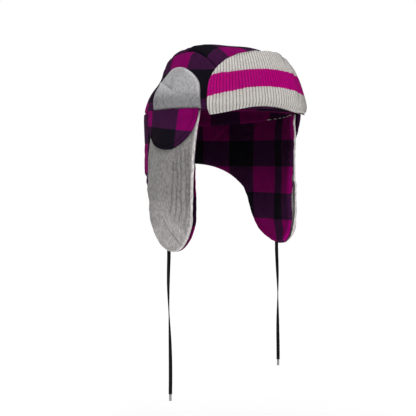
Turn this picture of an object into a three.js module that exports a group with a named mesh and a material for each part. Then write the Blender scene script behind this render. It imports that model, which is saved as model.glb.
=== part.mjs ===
// Trapper hat: a quilted crown with a turned-up front visor, two long ear flaps with half-round ear covers,
// a neck curtain between the flaps, and a flat lace at the tip of each flap.
// Millimetres, +Z up. The front of the hat faces -Y and the wearer's right side is -X.
// The origin is the middle of the head opening, level with the ear seam, where the head holds the hat up.
import * as THREE from 'three';
import { mergeVertices } from 'three/addons/utils/BufferGeometryUtils.js';

// Outline of the head opening on the outside of the hat.
const HALF_WIDTH = 95;
const FRONT_LENGTH = 99;
const BACK_LENGTH = 113;
const FRONT_ROUNDNESS = 2;
const BACK_ROUNDNESS = 2.2;

// Crown.
const CROWN_HEIGHT = 84;
const CROWN_FULLNESS = 4;
const CROWN_RIM = 3.5;
const STRIP_END = 52;
const STRIP_MIDDLE = 60;
const SEAM_GAP = 0.4;

// The layers of every padded piece, as depths below its outer face.
const OUTER_CLOTH = [0, 1.3];
const WADDING = [2.8, 6];
const LINING = [7.3, 8.6];
const FLAP_WADDING = [1.7, 6.1];
const FLAP_LINING = [6.5, 7.8];
const BAND = [11, 12.2];
const BAND_TOP = 30;
const BAND_FRONT_DROP = 5;
const BAND_BACK_DROP = 16;
const PANEL_END_GAP = 0.03;

// Ear flaps and neck curtain.
const FLAP_TOP = -1.2;
const FLAP_FRONT_TOP = -49;
const FLAP_BACK_TOP = 38;
const FLAP_HEM = [
  [-41, -122], [-40, -142], [-34, -161], [-23, -173], [-10, -177], [3, -176], [18, -170.5],
  [31, -160.5], [40, -147.5], [46.5, -131], [51.5, -115], [57, -101.5],
];
const FLAP_FILLING_SHARE = 0.95;
const CURTAIN_DROP = 68;
const CURTAIN_FLARE = 33.5;
const CURTAIN_CURVE = 1.75;
const CURTAIN_MEETING_GAP = 0.002;

// Half-round covers over the ears, and the round-topped patches above them.
const COVER_FRONT = -47;
const COVER_BACK = 42;
const COVER_FULLNESS = 2.2;
const COVER_REACH = 0.97;
const COVER_TOP = -1.5;
const COVER_LENGTH = 49;
const COVER_BACKING = [-1.7, -0.7];
const COVER_FACE = [-4, -2.1];
const PATCH_BOTTOM = 4.2;
const PATCH_EDGE = [
  [-49.5, 7], [-45, 19.5], [-41, 29], [-34.5, 36.7], [-23.7, 44.5], [-10.8, 50], [-2, 51.5], [7, 51.2],
  [17, 49.6], [27, 46], [36.5, 39], [41, 30], [41, 21], [36, 10], [34, 7],
];
const PATCH_CLOTH = [-2, -0.6];

// Visor, turned up in front of the crown.
const VISOR_HALF_WIDTH = 83;
const VISOR_RING = [103, 108];
const VISOR_HEIGHT = 71;
const VISOR_LEAN = 0.26;
const VISOR_LEAN_CURVE = 1.5;
const VISOR_TURN = 0.46;
const VISOR_CORNER_DROP = 7.5;
const VISOR_FULLNESS = 0.84;
const VISOR_CORNER = 0.09;
const VISOR_CORNER_TRIM = 0.06;
const VISOR_FACE = [0, 1.6];
const VISOR_WADDING = [2, 5.4];
const VISOR_BACKING = [5.8, 7];

// Flat laces with a crimped tip.
const LACE_WIDTH = 4.6;
const LACE_THICKNESS = 1.6;
const AGLET_LENGTH = 8;
const AGLET_RADIUS = 1.7;
const RIGHT_LACE_ROUTE = [
  [-91, 2, -178], [-91, 2, -181], [-91.1, 2.1, -188], [-91.4, 2.3, -200], [-91.7, 2.4, -213],
  [-91.9, 2.2, -226], [-91.9, 1.8, -239], [-91.7, 1.4, -252], [-91.4, 1, -265], [-91.1, 0.7, -278],
  [-90.8, 0.4, -291], [-90.6, 0.2, -304], [-90.5, 0, -317], [-90.5, -0.1, -330], [-90.6, -0.1, -343],
  [-90.8, 0, -358],
];
const LEFT_LACE_ROUTE = [
  [91, -1, -178], [91, -1, -181], [91.1, -1.1, -188], [91.4, -1.4, -199], [91.7, -1.8, -210],
  [91.9, -2.2, -221], [92, -2.6, -232], [91.9, -3, -243], [91.7, -3.3, -254], [91.4, -3.6, -265],
  [91.2, -3.9, -276], [91, -4.2, -287], [90.9, -4.5, -298], [90.9, -4.8, -309], [91, -5, -320],
  [91.2, -5.1, -340],
];

const MAGENTA_PLAID = { color: 0x7e0558, roughness: 0.95, metalness: 0 };
const PURPLE_PLAID = { color: 0x3c1138, roughness: 0.95, metalness: 0 };
const DARK_PLAID = { color: 0x1f0a1c, roughness: 0.95, metalness: 0 };
const GREY_KNIT = { color: 0xa5a2a1, roughness: 0.95, metalness: 0 };
const CREAM_KNIT = { color: 0xc5c2c0, roughness: 0.95, metalness: 0 };
const WHITE_FLEECE = { color: 0xe6e4de, roughness: 1, metalness: 0 };
const BLACK_BRAID = { color: 0x141318, roughness: 0.85, metalness: 0 };
const AGLET_PLASTIC = { color: 0x8a8a8e, roughness: 0.35, metalness: 0 };

const hat = new THREE.Group();

function addMesh(name, geometry, finish) {
  const mesh = new THREE.Mesh(geometry, new THREE.MeshStandardMaterial(finish));
  mesh.name = name;
  hat.add(mesh);
}

const signedPower = (value, power) => Math.sign(value) * Math.abs(value) ** power;
const lerp = THREE.MathUtils.lerp;

// Length and roundness of the outline on the side of the ring that y lies on.
const endLength = (y) => (y < 0 ? FRONT_LENGTH : BACK_LENGTH);
const endRoundness = (y) => (y < 0 ? FRONT_ROUNDNESS : BACK_ROUNDNESS);

// How far a plan point lies from the middle of the hat, 1 on the outline.
function spread(x, y) {
  const n = endRoundness(y);
  return (Math.abs(x / HALF_WIDTH) ** n + Math.abs(y / endLength(y)) ** n) ** (1 / n);
}

// Horizontal outward direction of the ring through a plan point.
function ringNormal(x, y) {
  const n = endRoundness(y);
  const across = signedPower(x / HALF_WIDTH, n - 1) / HALF_WIDTH;
  const along = signedPower(y / endLength(y), n - 1) / endLength(y);
  return new THREE.Vector3(across, along, 0).normalize();
}

// Point on the outline at an angle, from -90 degrees in front, through 0 at the left ear, to 90 at the back.
function outlinePoint(angle) {
  const sine = Math.sin(angle);
  const n = endRoundness(sine);
  const x = HALF_WIDTH * signedPower(Math.cos(angle), 2 / n);
  const y = endLength(sine) * signedPower(sine, 2 / n);
  return [x, y];
}

// Half the width of the outline at a given y.
function halfWidthAt(y) {
  const n = endRoundness(y);
  return HALF_WIDTH * (1 - Math.abs(y / endLength(y)) ** n) ** (1 / n);
}

// The distance from the middle to the outline, along y, at a given x.
function endAt(x, y) {
  const n = endRoundness(y);
  return endLength(y) * (1 - Math.abs(x / HALF_WIDTH) ** n) ** (1 / n);
}

// The crown's outer surface: its height over a plan point, and its outward direction there.
const crownHeight = (s) => CROWN_HEIGHT * (1 - s ** CROWN_FULLNESS);
const spreadAtHeight = (z) => (1 - Math.max(z, 0) / CROWN_HEIGHT) ** (1 / CROWN_FULLNESS);

function crownSpot(x, y) {
  const s = spread(x, y);
  const slope = CROWN_HEIGHT * CROWN_FULLNESS * s ** (CROWN_FULLNESS - 1);
  const n = endRoundness(y);
  const stretch = Math.max(s, 1e-6) ** (1 - n);
  const normal = new THREE.Vector3(
    slope * stretch * signedPower(x / HALF_WIDTH, n - 1) / HALF_WIDTH,
    slope * stretch * signedPower(y / endLength(y), n - 1) / endLength(y),
    1,
  );
  return { point: new THREE.Vector3(x, y, crownHeight(s)), normal: normal.normalize() };
}

// A spot on the hat's outside at an outline angle and a height: the crown above zero, a straight wall below.
function wallSpot(angle, z) {
  const [x, y] = outlinePoint(angle);
  const s = spreadAtHeight(z);
  return { point: new THREE.Vector3(x * s, y * s, z), normal: ringNormal(x, y) };
}

// A closed layer of cloth between two depths below a surface given on a grid.
// spot(u, v) gives the surface; a closed layer joins its last column to its first.
function clothLayer(spot, columns, rows, [outerDepth, innerDepth], closed = false) {
  const positions = [];
  const spots = [];
  for (let i = 0; i <= columns; i += 1) {
    spots.push([]);
    for (let j = 0; j <= rows; j += 1) {
      spots[i].push(spot(i / columns, j / rows));
    }
  }
  const at = (i, j, depth) => {
    const { point, normal } = spots[closed ? i % columns : i][j];
    return point.clone().addScaledVector(normal, -depth);
  };
  const quad = (a, b, c, d) => {
    for (const corner of [a, b, c, a, c, d]) positions.push(corner.x, corner.y, corner.z);
  };
  for (let i = 0; i < columns; i += 1) {
    for (let j = 0; j < rows; j += 1) {
      const [o, k] = [outerDepth, innerDepth];
      quad(at(i, j, o), at(i + 1, j, o), at(i + 1, j + 1, o), at(i, j + 1, o));
      quad(at(i, j, k), at(i, j + 1, k), at(i + 1, j + 1, k), at(i + 1, j, k));
    }
  }
  const wall = (i, j, m, n) => {
    quad(at(m, n, outerDepth), at(i, j, outerDepth), at(i, j, innerDepth), at(m, n, innerDepth));
  };
  for (let i = 0; i < columns; i += 1) {
    wall(i, 0, i + 1, 0);
    wall(i + 1, rows, i, rows);
  }
  for (let j = 0; j < rows && !closed; j += 1) {
    wall(0, j + 1, 0, j);
    wall(columns, j, columns, j + 1);
  }
  return solidFrom(positions);
}

// Welds the corners, drops triangles with no area, and turns the faces outward.
function solidFrom(positions) {
  const loose = new THREE.BufferGeometry();
  loose.setAttribute('position', new THREE.Float32BufferAttribute(positions, 3));
  const welded = mergeVertices(loose, 1e-3);
  const corners = welded.getAttribute('position');
  const index = [];
  let volume = 0;
  const [a, b, c] = [new THREE.Vector3(), new THREE.Vector3(), new THREE.Vector3()];
  for (let t = 0; t < welded.index.count; t += 3) {
    const [i, j, k] = [0, 1, 2].map((corner) => welded.index.getX(t + corner));
    if (i === j || j === k || k === i) continue;
    index.push(i, j, k);
    volume += a.fromBufferAttribute(corners, i).dot(
      b.fromBufferAttribute(corners, j).cross(c.fromBufferAttribute(corners, k)),
    );
  }
  welded.setIndex(volume > 0 ? index : index.reverse());
  welded.computeVertexNormals();
  return welded;
}

const SIDES = [['right', -1], ['left', 1]];

// Mirrors a surface to the side it is for: the left side is +X.
function onSide(side, spot) {
  return (u, v) => {
    const { point, normal } = spot(u, v);
    point.x *= side;
    normal.x *= side;
    return { point, normal };
  };
}

// ---- Crown ----

// The strip that runs from the forehead over the top to the back.
function centreStripSpot(u, v) {
  const x = lerp(-1, 1, v) * (seamX(u) - SEAM_GAP / 2);
  return crownSpot(x, stripY(x, u));
}

// How far out the seam beside the strip lies: the strip is widest on top of the head.
const seamX = (u) => lerp(STRIP_END, STRIP_MIDDLE, Math.sin(Math.PI * u));

// y along a fore-and-aft line of the crown, from its front rim to its back rim.
function stripY(x, u) {
  const cosine = Math.cos(Math.PI * u);
  const rim = spreadAtHeight(CROWN_RIM);
  return -rim * cosine * endAt(x / rim, -cosine);
}

// The half-moon side panel, from the strip's seam down to the ear seam.
function sidePanelSpot(u, v) {
  const x = seamX(u) + SEAM_GAP / 2;
  const rim = spreadAtHeight(CROWN_RIM);
  const seam = [x, stripY(x, u)];
  const reach = lerp(-1, 1, u);
  const corner = Math.acos(((STRIP_END + SEAM_GAP / 2) / (rim * HALF_WIDTH)) ** (endRoundness(reach) / 2));
  const [rimX, rimY] = outlinePoint(reach * corner).map((value) => value * rim);
  const down = Math.sin(v * Math.PI / 2);
  return crownSpot(lerp(seam[0], rimX, down), lerp(seam[1], rimY, down));
}

// The whole dome, round the hat and up to its top.
function domeSpot(u, v) {
  const [x, y] = outlinePoint(2 * Math.PI * u);
  const out = spreadAtHeight(CROWN_RIM) * Math.cos(v * Math.PI / 2);
  const inTheMiddle = v === 1;
  return inTheMiddle ? crownSpot(0, 0) : crownSpot(x * out, y * out);
}

// The band inside the opening, which reaches lower behind the head than in front.
function bandSpot(u, v) {
  const angle = 2 * Math.PI * u;
  const behind = (1 + Math.sin(angle)) / 2;
  return wallSpot(angle, lerp(lerp(-BAND_FRONT_DROP, -BAND_BACK_DROP, behind ** 1.5), BAND_TOP, v));
}

function buildCrown() {
  addMesh('crown_centre_panel', clothLayer(centreStripSpot, 24, 6, OUTER_CLOTH), PURPLE_PLAID);
  for (const [name, side] of SIDES) {
    const panel = onSide(side, (u, v) => sidePanelSpot(lerp(PANEL_END_GAP, 1 - PANEL_END_GAP, u), v));
    addMesh(`crown_${name}_panel`, clothLayer(panel, 20, 6, OUTER_CLOTH), MAGENTA_PLAID);
  }
  addMesh('crown_wadding', clothLayer(domeSpot, 32, 7, WADDING, true), WHITE_FLEECE);
  addMesh('crown_lining', clothLayer(domeSpot, 32, 7, LINING, true), DARK_PLAID);
  addMesh('inner_band', clothLayer(bandSpot, 32, 2, BAND, true), DARK_PLAID);
}

// ---- Ear flaps, neck curtain, covers and patches ----

// A spot on the straight wall at a given y and z, on the +X side.
function sideSpot(y, z) {
  const x = halfWidthAt(y);
  return { point: new THREE.Vector3(x, y, z), normal: ringNormal(x, y) };
}

const curveThrough = (spots) => (
  new THREE.CatmullRomCurve3(spots.map(([y, z]) => new THREE.Vector3(0, y, z)), false, 'centripetal')
);
const flapHem = curveThrough(FLAP_HEM);

function flapSpot(u, v) {
  const hem = flapHem.getPoint(u);
  const y = lerp(lerp(FLAP_FRONT_TOP, FLAP_BACK_TOP, u), hem.y, v);
  return sideSpot(y, lerp(FLAP_TOP, hem.z, v));
}

// The flap's back edge is a seam that slants backward from the ear seam to the hem.
const seamHem = FLAP_HEM[FLAP_HEM.length - 1];

// The curtain's lower edge drops from the centre back to the flaps.
function curtainHem(y) {
  return -CURTAIN_DROP - CURTAIN_FLARE * ((BACK_LENGTH - y) / (BACK_LENGTH - seamHem[0])) ** CURTAIN_CURVE;
}

// y along a level line of the curtain that starts at the given y, evenly round to the centre back.
function alongBack(startY, u) {
  const start = Math.asin((startY / BACK_LENGTH) ** (BACK_ROUNDNESS / 2));
  return outlinePoint(lerp(start, Math.PI / 2 - CURTAIN_MEETING_GAP, u))[1];
}

// Half of the curtain, from a flap's back edge to the centre back.
function curtainSpot(u, v) {
  const hemY = alongBack(seamHem[0] + SEAM_GAP, u);
  const y = lerp(alongBack(FLAP_BACK_TOP + SEAM_GAP, u), hemY, v);
  return sideSpot(y, lerp(FLAP_TOP, curtainHem(hemY), v));
}

// The whole curtain, from one flap to the other.
function wholeCurtainSpot(u, v) {
  const half = Math.abs(lerp(-1, 1, u));
  return onSide(u < 0.5 ? -1 : 1, curtainSpot)(1 - half, v);
}

// A cover hangs from its straight top edge, and is rounded below.
function coverSpot(u, v) {
  const reach = Math.abs(lerp(-1, 1, u)) * COVER_REACH;
  const drop = COVER_LENGTH * (1 - reach ** COVER_FULLNESS) ** (1 / COVER_FULLNESS);
  return sideSpot(lerp(COVER_FRONT, COVER_BACK, u), COVER_TOP - drop * v);
}

// A patch lies on the crown, between its straight foot and its round-topped edge.
const patchEdge = curveThrough(PATCH_EDGE);

function patchSpot(u, v) {
  const edge = patchEdge.getPoint(u);
  const foot = lerp(PATCH_EDGE[0][0], PATCH_EDGE[PATCH_EDGE.length - 1][0], u);
  const y = lerp(foot, edge.y, v);
  const s = spreadAtHeight(lerp(PATCH_BOTTOM, edge.z, v));
  return crownSpot(s * halfWidthAt(y / s), y);
}

function buildCurtain() {
  for (const [name, side] of SIDES) {
    const half = onSide(side, curtainSpot);
    addMesh(`neck_curtain_${name}`, clothLayer(half, 12, 4, OUTER_CLOTH), MAGENTA_PLAID);
  }
  addMesh('neck_wadding', clothLayer(wholeCurtainSpot, 24, 4, FLAP_WADDING), WHITE_FLEECE);
  addMesh('neck_lining', clothLayer(wholeCurtainSpot, 24, 4, FLAP_LINING), DARK_PLAID);
}

// The sock's hem is turned in round the wadding and the lining, so they stop short of it.
function buildEarFlap(name, side) {
  const flap = onSide(side, flapSpot);
  const filling = (u, v) => flap(u, v * FLAP_FILLING_SHARE);
  addMesh(`${name}_flap_sock`, clothLayer(flap, 12, 8, OUTER_CLOTH), GREY_KNIT);
  addMesh(`${name}_flap_wadding`, clothLayer(filling, 12, 8, FLAP_WADDING), WHITE_FLEECE);
  addMesh(`${name}_flap_lining`, clothLayer(filling, 12, 8, FLAP_LINING), DARK_PLAID);
  const cover = onSide(side, coverSpot);
  addMesh(`${name}_cover_backing`, clothLayer(cover, 12, 4, COVER_BACKING), DARK_PLAID);
  addMesh(`${name}_cover_face`, clothLayer(cover, 12, 4, COVER_FACE), PURPLE_PLAID);
  addMesh(`${name}_toe_patch`, clothLayer(onSide(side, patchSpot), 12, 4, PATCH_CLOTH), GREY_KNIT);
}

// ---- Visor ----

// The visor's face is a D with its straight edge down and its corners rounded, leaning back along the crown.
function visorSpot(u, v) {
  const turn = v * VISOR_TURN * Math.PI;
  const corner = Math.max(0, 1 - v / VISOR_CORNER);
  const halfWidth = VISOR_HALF_WIDTH * Math.cos(turn) ** VISOR_FULLNESS * (1 - VISOR_CORNER_TRIM * corner ** 2);
  const up = Math.sin(turn) ** VISOR_FULLNESS;
  const x = lerp(-1, 1, u) * halfWidth;
  const drop = VISOR_CORNER_DROP * (x / VISOR_HALF_WIDTH) ** 2 * (1 - up);
  const z = VISOR_HEIGHT * up - drop;
  const climb = Math.max(z, 0) / VISOR_HEIGHT;
  const ring = 1 - VISOR_LEAN * climb ** VISOR_LEAN_CURVE;
  const [ringX, ringY] = VISOR_RING;
  const y = -ringY * Math.sqrt(ring ** 2 - (x / ringX) ** 2);
  const lean = VISOR_LEAN * VISOR_LEAN_CURVE * climb ** (VISOR_LEAN_CURVE - 1) / VISOR_HEIGHT;
  const normal = new THREE.Vector3(x / ringX ** 2, y / ringY ** 2, ring * lean).normalize();
  return { point: new THREE.Vector3(x, y, z), normal };
}

function buildVisor() {
  addMesh('visor_face', clothLayer(visorSpot, 16, 7, VISOR_FACE), CREAM_KNIT);
  addMesh('visor_wadding', clothLayer(visorSpot, 16, 7, VISOR_WADDING), WHITE_FLEECE);
  addMesh('visor_backing', clothLayer(visorSpot, 16, 7, VISOR_BACKING), MAGENTA_PLAID);
}

// ---- Laces ----

// A flat oval section with eight sides, swept along the lace's route.
function laceTube(route) {
  const section = new THREE.Shape();
  for (let corner = 0; corner < 8; corner += 1) {
    const angle = (corner + 0.5) * Math.PI / 4;
    const x = Math.cos(angle) * LACE_THICKNESS / 2;
    const y = Math.sin(angle) * LACE_WIDTH / 2;
    if (corner === 0) section.moveTo(x, y);
    else section.lineTo(x, y);
  }
  section.closePath();
  const path = new THREE.CatmullRomCurve3(route.map((place) => new THREE.Vector3(...place)));
  const tube = new THREE.ExtrudeGeometry(section, { steps: 20, bevelEnabled: false, extrudePath: path });
  tube.deleteAttribute('normal');
  tube.deleteAttribute('uv');
  return mergeVertices(tube, 1e-3);
}

function buildLace(name, route) {
  addMesh(`${name}_lace`, laceTube(route), BLACK_BRAID);
  const aglet = new THREE.CylinderGeometry(AGLET_RADIUS, AGLET_RADIUS, AGLET_LENGTH, 8);
  aglet.rotateX(Math.PI / 2);
  const [x, y, z] = route[route.length - 1];
  aglet.translate(x, y, z - AGLET_LENGTH / 2 - SEAM_GAP);
  addMesh(`${name}_aglet`, aglet, AGLET_PLASTIC);
}

buildCrown();
buildCurtain();
for (const [name, side] of SIDES) buildEarFlap(name, side);
buildVisor();
buildLace('right', RIGHT_LACE_ROUTE);
buildLace('left', LEFT_LACE_ROUTE);

export default hat;
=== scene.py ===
"""Looks of the trapper hat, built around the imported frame.

Metres, +Z up. The front of the hat faces -Y and the wearer's right side is -X.
"""

import math

import bmesh
import bpy
import numpy as np
from mathutils.kdtree import KDTree
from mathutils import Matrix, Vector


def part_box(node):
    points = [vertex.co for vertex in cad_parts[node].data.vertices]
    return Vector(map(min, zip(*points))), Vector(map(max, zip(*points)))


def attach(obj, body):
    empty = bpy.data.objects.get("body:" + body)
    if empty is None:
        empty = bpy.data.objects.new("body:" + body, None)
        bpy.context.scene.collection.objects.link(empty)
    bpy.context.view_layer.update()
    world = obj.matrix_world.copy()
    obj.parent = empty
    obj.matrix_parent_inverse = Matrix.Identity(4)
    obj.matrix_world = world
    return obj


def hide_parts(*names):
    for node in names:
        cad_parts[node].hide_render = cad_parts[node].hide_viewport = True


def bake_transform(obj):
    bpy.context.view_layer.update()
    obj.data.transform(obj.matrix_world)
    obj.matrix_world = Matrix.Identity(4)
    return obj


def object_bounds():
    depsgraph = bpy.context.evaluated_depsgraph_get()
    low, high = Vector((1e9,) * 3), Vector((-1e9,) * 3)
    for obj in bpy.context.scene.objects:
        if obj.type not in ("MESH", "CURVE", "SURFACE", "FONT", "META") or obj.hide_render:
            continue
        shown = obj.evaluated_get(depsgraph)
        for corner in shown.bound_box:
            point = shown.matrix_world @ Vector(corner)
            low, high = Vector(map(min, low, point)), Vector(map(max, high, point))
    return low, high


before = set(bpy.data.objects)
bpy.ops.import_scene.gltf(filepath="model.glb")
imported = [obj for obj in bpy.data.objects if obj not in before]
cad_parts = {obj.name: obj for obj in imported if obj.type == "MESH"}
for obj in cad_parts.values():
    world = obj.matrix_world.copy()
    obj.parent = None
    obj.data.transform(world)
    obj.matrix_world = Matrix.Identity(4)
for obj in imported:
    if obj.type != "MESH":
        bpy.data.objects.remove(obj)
cad_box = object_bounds()

SIDES = (("right", -1), ("left", 1))
MM = 0.001


# ---- sizes taken from the frame

def low(node):
    return np.array(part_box(node)[0])


def high(node):
    return np.array(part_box(node)[1])


HALF_WIDTH = high("left_flap_sock")[0]
CROWN_HEIGHT = high("crown_centre_panel")[2]
CROWN_RIM = 3.5 * MM
CROWN_FULLNESS = 4
RIM_SPREAD = (1 - CROWN_RIM / CROWN_HEIGHT) ** (1 / CROWN_FULLNESS)
FRONT_LENGTH = -low("crown_centre_panel")[1] / RIM_SPREAD
BACK_LENGTH = high("neck_curtain_left")[1]
STRIP_END = 52 * MM
STRIP_MIDDLE = high("crown_centre_panel")[0]
CLOTH_RIM = -1.8 * MM
FLAP_TOP = CLOTH_RIM - 0.6 * MM
FLAP_FRONT_TOP = -49 * MM
FLAP_BACK_TOP = 38 * MM
FLAP_BACK = high("left_flap_sock")[1]
CURTAIN_MIDDLE = -68 * MM
CURTAIN_SIDE = low("neck_curtain_left")[2]
COVER_FRONT = -48.5 * MM
COVER_BACK = 42 * MM
COVER_TOP = FLAP_TOP + 0.9 * MM
COVER_TIP = low("left_cover_face")[2]
VISOR_HALF_WIDTH = high("visor_face")[0]
CHECK = 37.5 * MM


# ---- camera

def add_camera():
    """Level view from the hat's front right, as far away as a portrait lens stands."""
    turn = math.radians(40)
    distance, height = 1.086, -0.0638
    pixels_per_radian = 828
    aim_right, aim_up = 17.8 / pixels_per_radian, -47.5 / pixels_per_radian
    data = bpy.data.cameras.new("camera")
    data.sensor_width = 36
    data.lens = 36 * pixels_per_radian / 416
    camera = bpy.data.objects.new("camera", data)
    bpy.context.collection.objects.link(camera)
    camera.location = (-distance * math.sin(turn), -distance * math.cos(turn), height)
    heading = turn - math.atan(aim_right)
    camera.rotation_euler = (math.pi / 2 + math.atan(aim_up), 0, -heading)
    bpy.context.scene.camera = camera


add_camera()


# ---- material graphs

class Graph:
    """A material's node tree, with short calls for the nodes used here."""

    def __init__(self, name):
        self.material = bpy.data.materials.new(name)
        self.material.use_nodes = True
        self.tree = self.material.node_tree
        self.shader = self.tree.nodes["Principled BSDF"]

    def node(self, kind, **settings):
        made = self.tree.nodes.new(kind)
        for key, value in settings.items():
            setattr(made, key, value)
        return made

    def feed(self, socket, value):
        if isinstance(value, bpy.types.NodeSocket):
            self.tree.links.new(value, socket)
        elif value is not None:
            socket.default_value = value

    def math(self, operation, a, b=None, c=None):
        made = self.node("ShaderNodeMath", operation=operation)
        for socket, value in zip(made.inputs, (a, b, c)):
            self.feed(socket, value)
        return made.outputs[0]

    def mix(self, factor, a, b):
        made = self.node("ShaderNodeMix", data_type="RGBA")
        self.feed(made.inputs[0], factor)
        self.feed(made.inputs[6], a)
        self.feed(made.inputs[7], b)
        return made.outputs[2]

    def shade(self, colour, factor):
        """Multiplies a colour by a grey level."""
        grey = self.node("ShaderNodeCombineColor")
        for socket in grey.inputs:
            self.feed(socket, factor)
        made = self.node("ShaderNodeMix", data_type="RGBA", blend_type="MULTIPLY")
        self.feed(made.inputs[0], 1.0)
        self.feed(made.inputs[6], colour)
        self.feed(made.inputs[7], grey.outputs[0])
        return made.outputs[2]

    def spread(self, value, low_from, high_from, low_to, high_to):
        made = self.node("ShaderNodeMapRange", interpolation_type="SMOOTHSTEP")
        for socket, number in zip(made.inputs, (value, low_from, high_from, low_to, high_to)):
            self.feed(socket, number)
        return made.outputs[0]

    def uv(self, layer="cloth"):
        split = self.node("ShaderNodeSeparateXYZ")
        self.feed(split.inputs[0], self.node("ShaderNodeUVMap", uv_map=layer).outputs[0])
        return split.outputs[0], split.outputs[1]

    def tone(self):
        """How light the cloth is painted at this spot, painted shade and highlights included, 1 where
        nothing is painted.
        """
        return self.uv("tone")[0]

    def place(self, scale=(1, 1, 1)):
        """The piece's own position, stretched."""
        coordinates = self.node("ShaderNodeTexCoord")
        mapping = self.node("ShaderNodeMapping")
        self.feed(mapping.inputs[0], coordinates.outputs["Object"])
        mapping.inputs["Scale"].default_value = scale
        return mapping.outputs[0]

    def noise(self, vector, scale, detail=2, roughness=0.5):
        made = self.node("ShaderNodeTexNoise")
        self.feed(made.inputs["Vector"], vector)
        made.inputs["Scale"].default_value = scale
        made.inputs["Detail"].default_value = detail
        made.inputs["Roughness"].default_value = roughness
        return made.outputs[0]

    def wave(self, coordinate, cycles, phase=0.0):
        """Sine of a coordinate, from 0 to 1."""
        turned = self.math("MULTIPLY_ADD", coordinate, 2 * math.pi * cycles, phase)
        return self.math("MULTIPLY_ADD", self.math("SINE", turned), 0.5, 0.5)

    def bump(self, height, distance, strength=1.0):
        made = self.node("ShaderNodeBump")
        made.inputs["Distance"].default_value = distance
        made.inputs["Strength"].default_value = strength
        self.feed(made.inputs["Height"], height)
        self.feed(self.shader.inputs["Normal"], made.outputs[0])

    def cloth_finish(self, colour, roughness=0.92, sheen=0.25, tint=(1, 1, 1, 1)):
        self.feed(self.shader.inputs["Base Color"], colour)
        self.shader.inputs["Roughness"].default_value = roughness
        self.shader.inputs["Specular IOR Level"].default_value = 0.02
        self.shader.inputs["Sheen Weight"].default_value = sheen
        self.shader.inputs["Sheen Roughness"].default_value = 0.5
        self.shader.inputs["Sheen Tint"].default_value = tint


MAGENTA = (0.185, 0.0008, 0.090, 1)
PURPLE = ((0.020, 0.0055, 0.024, 1), (0.052, 0.008, 0.046, 1))
BLACK = (0.0055, 0.0045, 0.0080, 1)
THREADS_PER_CHECK = 30


def plaid(name, painted_light_level=1.0):
    """Napped flannel: squares of magenta, black and both woven together in a diagonal twill.

    The cloth's map counts checks, so a whole number is a square's edge.
    """
    g = Graph(name)
    s, t = g.uv()
    fuzz = g.noise(g.place(), 900, 2)
    edge = g.math("MULTIPLY_ADD", fuzz, 0.05, -0.025)
    bands = []
    for coordinate in (s, t):
        cycle = g.math("FLOORED_MODULO", g.math("ADD", coordinate, edge), 2.0)
        bands.append(g.math("LESS_THAN", cycle, 1.0))
    twill = g.wave(g.math("ADD", s, t), THREADS_PER_CHECK)
    mixed = g.mix(g.spread(twill, 0.2, 0.8, 0, 1), *PURPLE)
    woven = g.mix(g.math("MAXIMUM", *bands), BLACK, mixed)
    woven = g.mix(g.math("MINIMUM", *bands), woven, MAGENTA)
    blur = g.noise(g.place(), 55, 4, 0.6)
    nap = g.noise(g.place((1, 1, 0.4)), 1500, 3, 0.7)
    # Below 1 the level darkens the whole cloth as painted shade.
    patchy = g.spread(blur, 0.3, 0.7, 0.86 * painted_light_level, 1.14 * painted_light_level)
    worn = g.math("MULTIPLY", patchy, g.spread(nap, 0.25, 0.75, 0.8, 1.2))
    level = g.math("MULTIPLY", worn, g.tone())
    g.cloth_finish(g.shade(woven, level), sheen=0.015, tint=(0.9, 0.5, 0.8, 1))
    g.bump(g.math("ADD", g.math("MULTIPLY", twill, 0.45), nap), 0.3 * MM, 0.7)
    return g.material


def stitch_relief(g, wale, course):
    """Height of plain knitting: columns of V stitches. wale and course count stitches."""
    across = g.math("ABSOLUTE", g.math("MULTIPLY_ADD", g.math("FRACT", wale), 2.0, -1.0))
    column = g.math("SUBTRACT", 1.0, g.math("MULTIPLY", across, across))
    lifted = g.math("MULTIPLY_ADD", across, 0.5, course)
    loop = g.wave(lifted, 1.0)
    return g.math("MULTIPLY", column, g.math("MULTIPLY_ADD", loop, 0.5, 0.5))


def knit(name, light, dark, wale_width, fleck=0.5):
    """Marl stocking knit. The cloth's map is in metres: across the wales, then along them."""
    g = Graph(name)
    s, t = g.uv()
    wander = g.math("MULTIPLY_ADD", g.noise(g.place(), 60, 1), 0.6, -0.3)
    wale = g.math("MULTIPLY_ADD", s, 1 / wale_width, wander)
    course = g.math("MULTIPLY_ADD", t, 1.35 / wale_width, wander)
    relief = stitch_relief(g, wale, course)
    marl = g.noise(g.place((1, 1, 0.45)), 520, 3, 0.7)
    soft = g.noise(g.place((1, 1, 0.35)), 55, 3)
    colour = g.mix(g.spread(marl, 0.5 - 0.35 * fleck, 0.5 + 0.35 * fleck, 0.15, 0.85), dark, light)
    # Painted shade in the hollows between the stitches, with soft random patches lighter and darker.
    hollow_shade = g.spread(relief, 0.0, 1.0, 1 - 0.32 * fleck, 1.06)
    shadow = g.math("MULTIPLY", hollow_shade, g.spread(soft, 0.3, 0.7, 0.94, 1.06))
    g.cloth_finish(g.shade(colour, g.math("MULTIPLY", shadow, g.tone())), sheen=0.04)
    fibres = g.noise(g.place(), 2600, 2)
    g.bump(g.math("MULTIPLY_ADD", fibres, 0.3, relief), 0.45 * MM, 0.7)
    return g.material


RIB_WIDTH = 4.0 * MM
STRIPE_LOW = 21.5 * MM
STRIPE_HIGH = 43 * MM


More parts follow.
